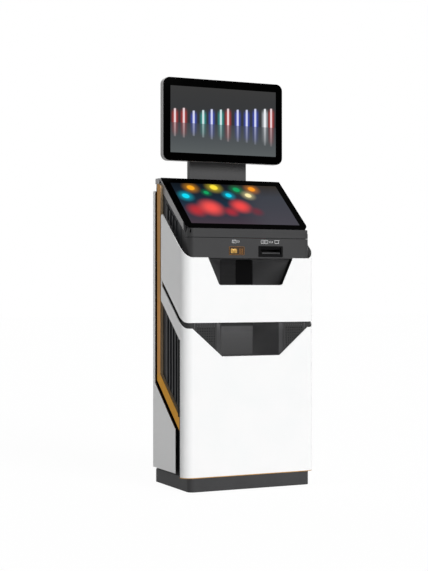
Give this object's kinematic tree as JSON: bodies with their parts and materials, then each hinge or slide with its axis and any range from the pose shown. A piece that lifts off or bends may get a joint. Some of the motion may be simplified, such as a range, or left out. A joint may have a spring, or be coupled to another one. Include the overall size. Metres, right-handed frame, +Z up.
{
  "type": "self-service kiosk",
  "caption": "Floor-standing self-service kiosk with a sloped touch screen lid, an upright screen on a mast, card and note readers, ticket niches and a service door.",
  "frame": {"origin": "on the floor under the middle of the kiosk's box", "axes": "+X to the user's right, +Y to the back, +Z up; the front faces -Y"},
  "size_m": [0.64, 0.366, 1.804],
  "materials": {
    "white_paint": "satin powder coat",
    "charcoal_paint": "fine textured powder coat",
    "dark_paint": "matt powder coat",
    "gold_trim": "brushed gold anodised",
    "silver_paint": "satin silver paint",
    "cover_glass": "black printed cover glass",
    "display": "lit display panel",
    "zinc_steel": "zinc plated",
    "bright_metal": "nickel plated",
    "black_plastic": "matt moulded",
    "amber_plastic": "amber moulded frame",
    "tinted_window": "dark tinted window",
    "red_plastic": "moulded",
    "green_plastic": "moulded",
    "grey_case": "sheet case",
    "paper": "uncoated paper"
  },
  "bodies": {
    "cabinet": {"plinth": "charcoal_paint", "base_plate": "zinc_steel", "base_trim": "gold_trim", "carcass": "dark_paint", "shelf": "zinc_steel", "upper_shell": "white_paint", "lower_shell": "white_paint", "belt": "dark_paint", "trim_left": "gold_trim", "trim_right": "gold_trim", "rear_panel_left": "white_paint", "rear_panel_right": "white_paint", "louvre_left": "charcoal_paint", "louvre_right": "charcoal_paint", "upper_niche": "dark_paint", "niche_collar": "dark_paint", "scan_window": "tinted_window", "scanner": "black_plastic", "niche_panel": "dark_paint", "lower_niche": "charcoal_paint", "grille_left": "dark_paint", "grille_right": "dark_paint", "speaker_left": "black_plastic", "speaker_right": "black_plastic", "head_shell": "charcoal_paint", "head_louvre_left": "charcoal_paint", "head_louvre_right": "charcoal_paint", "deck": "silver_paint", "card_bezel": "amber_plastic", "card_reader": "black_plastic", "note_bezel": "black_plastic", "note_validator": "black_plastic", "hinge_lugs": "zinc_steel", "mast": "charcoal_paint", "bracket": "dark_paint", "monitor_case": "silver_paint", "monitor_panel": "display", "monitor_glass": "cover_glass", "door_lugs": "zinc_steel", "computer": "grey_case", "power_supply": "zinc_steel", "fan_frame": "black_plastic", "inlet": "black_plastic", "printer": "black_plastic", "screws": "bright_metal"},
    "lid": {"lid_tray": "charcoal_paint", "lid_rim": "silver_paint", "touch_glass": "cover_glass", "touch_panel": "display", "lid_knuckles": "zinc_steel"},
    "door": {"rear_door": "charcoal_paint", "door_knuckles": "zinc_steel", "lock_barrel": "bright_metal"},
    "lock_cam": {"lock_cam": "zinc_steel"},
    "fan_rotor": {"fan_rotor": "black_plastic"},
    "rocker": {"rocker": "red_plastic"},
    "paper_roll": {"paper_roll": "paper"},
    "cash_box": {"cash_box": "red_plastic"},
    "computer_button": {"computer_button": "bright_metal"},
    "feed_button": {"feed_button": "green_plastic"}
  },
  "joints": [
    {"name": "lid_hinge", "type": "hinge", "parent": "cabinet", "child": "lid", "pos_m": [0, 0.12842, 1.35407], "axis": [-1, 0, 0], "range_deg": [0, 60]},
    {"name": "door_hinge", "type": "hinge", "parent": "cabinet", "child": "door", "pos_m": [-0.287, 0.177, 0.56], "axis": [0, 0, 1], "range_deg": [0, 110]},
    {"name": "lock_turn", "type": "hinge", "parent": "door", "child": "lock_cam", "pos_m": [0.252, 0.159, 0.56], "axis": [0, -1, 0], "range_deg": [0, 90]},
    {"name": "fan_spin", "type": "hinge", "parent": "cabinet", "child": "fan_rotor", "pos_m": [-0.215, 0.16342, 1.262], "axis": [0, 1, 0], "continuous": true},
    {"name": "rocker_tip", "type": "hinge", "parent": "cabinet", "child": "rocker", "pos_m": [0.2, 0.169, 0.125], "axis": [1, 0, 0], "range_deg": [0, 14]},
    {"name": "roll_spin", "type": "hinge", "parent": "cabinet", "child": "paper_roll", "pos_m": [0, -0.029, 0.769], "axis": [1, 0, 0], "continuous": true},
    {"name": "cash_slide", "type": "slide", "parent": "cabinet", "child": "cash_box", "axis": [0, 1, 0], "range_m": [0, 0.08]},
    {"name": "computer_press", "type": "slide", "parent": "cabinet", "child": "computer_button", "axis": [0, -1, 0], "range_m": [0, 0.002], "stiffness_N_per_m": 400},
    {"name": "feed_press", "type": "slide", "parent": "cabinet", "child": "feed_button", "axis": [0, 0, -1], "range_m": [0, 0.0015], "stiffness_N_per_m": 400, "springref_m": -0.0003}
  ]
}
